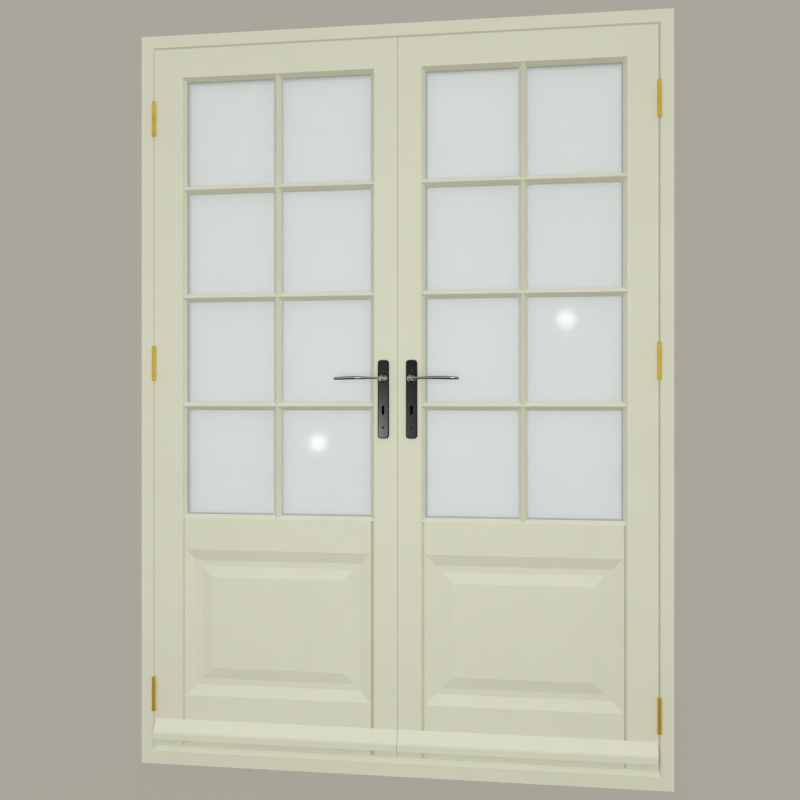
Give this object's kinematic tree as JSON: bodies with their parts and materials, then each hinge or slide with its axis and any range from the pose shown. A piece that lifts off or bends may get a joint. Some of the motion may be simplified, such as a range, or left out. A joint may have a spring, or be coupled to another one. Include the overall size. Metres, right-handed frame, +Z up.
{
  "type": "french doors",
  "caption": "Painted timber French doors in their frame: small-paned glass over raised panels, leaves hung on brass butt hinges to open outward, with lever handles and weatherboards.",
  "frame": {"origin": "underside of the sill, at mid width and mid depth of the frame", "axes": "+X to the right seen from outside, -Y toward the outside, +Z up"},
  "size_m": [1.49, 0.157, 2.09],
  "materials": {
    "painted_timber": "satin paint, cream",
    "glass": "clear, polished",
    "spacer": "mill",
    "brass": "polished",
    "black_plate": "gloss black",
    "chrome": "polished",
    "steel": "zinc plated",
    "seal": "matt",
    "pile": "ivory pile"
  },
  "bodies": {
    "frame": {"left_jamb": "painted_timber", "right_jamb": "painted_timber", "head": "painted_timber", "sill": "painted_timber", "frame_seals": "seal", "bolt_keeps": "brass", "left_hinge_frame_flaps": "brass", "right_hinge_frame_flaps": "brass", "hinge_pins": "brass"},
    "left_leaf": {"left_hinge_stile": "painted_timber", "left_meeting_stile": "painted_timber", "left_top_rail": "painted_timber", "left_lock_rail": "painted_timber", "left_bottom_rail": "painted_timber", "left_panel": "painted_timber", "left_panel_mouldings": "painted_timber", "left_weatherboard": "painted_timber", "left_meeting_seal": "pile", "left_outer_glass": "glass", "left_inner_glass": "glass", "left_glass_spacer": "spacer", "left_outer_bars": "painted_timber", "left_inner_bars": "painted_timber", "left_glazing_beads": "painted_timber", "left_hinge_leaf_flaps": "brass", "left_outer_backplate": "black_plate", "left_inner_backplate": "black_plate", "left_plate_screws": "steel", "left_gear_case": "steel", "left_lock_keep": "steel"},
    "right_leaf": {"right_hinge_stile": "painted_timber", "right_meeting_stile": "painted_timber", "right_top_rail": "painted_timber", "right_lock_rail": "painted_timber", "right_bottom_rail": "painted_timber", "right_panel": "painted_timber", "right_panel_mouldings": "painted_timber", "right_weatherboard": "painted_timber", "right_meeting_seal": "pile", "right_outer_glass": "glass", "right_inner_glass": "glass", "right_glass_spacer": "spacer", "right_outer_bars": "painted_timber", "right_inner_bars": "painted_timber", "right_glazing_beads": "painted_timber", "right_hinge_leaf_flaps": "brass", "right_outer_backplate": "black_plate", "right_inner_backplate": "black_plate", "right_plate_screws": "steel", "right_lock_case": "steel"},
    "left_handle": {"left_outer_lever": "chrome", "left_inner_lever": "chrome", "left_spindle": "steel"},
    "right_handle": {"right_outer_lever": "chrome", "right_inner_lever": "chrome", "right_spindle": "steel"},
    "top_shoot_bolt": {"top_shoot_bolt": "steel"},
    "bottom_shoot_bolt": {"bottom_shoot_bolt": "steel"},
    "latch_bolt": {"latch_bolt": "brass"},
    "dead_bolt": {"dead_bolt": "brass"}
  },
  "joints": [
    {"name": "left_leaf_swing", "type": "hinge", "parent": "frame", "child": "left_leaf", "pos_m": [-0.70575, -0.0533, 1.05], "axis": [0, 0, -1], "range_deg": [0, 110]},
    {"name": "right_leaf_swing", "type": "hinge", "parent": "frame", "child": "right_leaf", "pos_m": [0.70575, -0.0533, 1.05], "axis": [0, 0, 1], "range_deg": [0, 110]},
    {"name": "left_lever_lift", "type": "hinge", "parent": "left_leaf", "child": "left_handle", "pos_m": [-0.0395, -0.019, 1.104], "axis": [0, 1, 0], "range_deg": [0, 45]},
    {"name": "right_lever_turn", "type": "hinge", "parent": "right_leaf", "child": "right_handle", "pos_m": [0.0395, -0.019, 1.104], "axis": [0, 1, 0], "range_deg": [0, 45], "stiffness_Nm_per_rad": 1.2, "springref_deg": -20.05},
    {"name": "top_bolt_slide", "type": "slide", "parent": "left_leaf", "child": "top_shoot_bolt", "axis": [0, 0, 1], "range_m": [0, 0.02]},
    {"name": "bottom_bolt_slide", "type": "slide", "parent": "left_leaf", "child": "bottom_shoot_bolt", "axis": [0, 0, -1], "range_m": [0, 0.02]},
    {"name": "latch_slide", "type": "slide", "parent": "right_leaf", "child": "latch_bolt", "axis": [-1, 0, 0], "range_m": [0, 0.012]},
    {"name": "dead_bolt_slide", "type": "slide", "parent": "right_leaf", "child": "dead_bolt", "axis": [-1, 0, 0], "range_m": [0, 0.02]}
  ],
  "couplings": [
    {"joint": "top_bolt_slide", "follows": "left_lever_lift", "m_per_rad": 0.02546},
    {"joint": "bottom_bolt_slide", "follows": "left_lever_lift", "m_per_rad": 0.02546}
  ]
}
